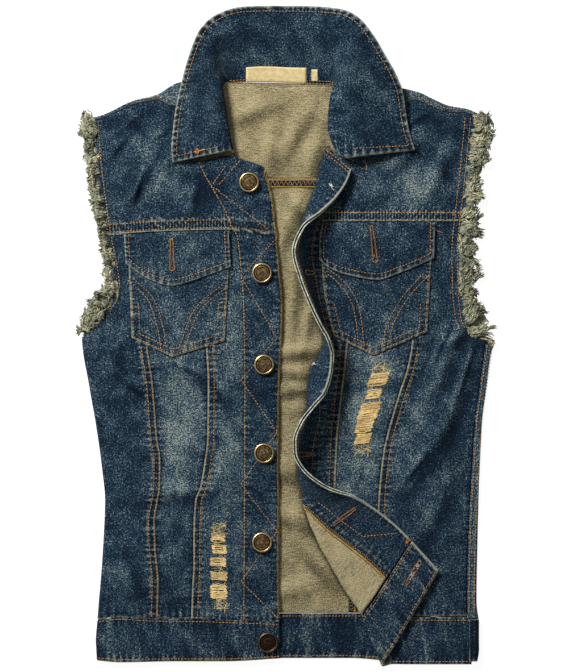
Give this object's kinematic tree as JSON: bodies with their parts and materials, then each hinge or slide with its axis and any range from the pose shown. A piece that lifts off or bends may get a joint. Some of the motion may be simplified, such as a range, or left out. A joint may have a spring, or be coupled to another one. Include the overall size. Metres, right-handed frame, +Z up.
{
  "type": "sleeveless denim jacket",
  "caption": "Sleeveless denim jacket lying face up and open, with a turned collar, flapped chest pockets, worn patches and raw frayed armholes.",
  "frame": {"origin": "middle of the garment's outline, on the surface that it lies on", "axes": "+X towards the wearer's left, +Y from hem to collar, +Z up from the surface, out of the garment's front"},
  "size_m": [0.4204, 0.6598, 0.0392],
  "materials": {
    "denim": "worn indigo twill",
    "dark_denim": "unfaded indigo twill, two plies",
    "faded_denim": "faded indigo twill",
    "collar": "worn indigo twill, two plies",
    "wrong_side": "khaki wrong side of the twill",
    "fray": "loose cotton ends",
    "brass": "antique brass",
    "bronze": "dark bronze",
    "label": "woven tape"
  },
  "bodies": {
    "root": {"back_yoke": "wrong_side", "back_centre": "wrong_side", "back_side_right": "wrong_side", "back_side_left": "wrong_side", "back_waistband": "dark_denim", "right_front_waistband": "dark_denim", "left_front_waistband": "dark_denim", "right_front_yoke": "faded_denim", "right_front_side": "denim", "right_front_middle": "faded_denim", "right_front_centre": "denim", "right_placket": "dark_denim", "left_placket": "dark_denim", "left_front_centre": "denim", "left_front_middle": "faded_denim", "left_front_side": "denim", "left_front_yoke": "faded_denim", "right_pocket": "denim", "right_pocket_flap": "dark_denim", "left_pocket": "denim", "left_pocket_flap": "dark_denim", "collar": "collar", "neck_label": "label", "size_tab": "label", "right_armhole_fray_front": "fray", "right_armhole_fray_back": "fray", "left_armhole_fray_front": "fray", "left_armhole_fray_back": "fray", "button_1": "brass", "button_2": "brass", "button_3": "brass", "button_4": "brass", "button_5": "brass", "button_6": "bronze"}
  },
  "joints": []
}
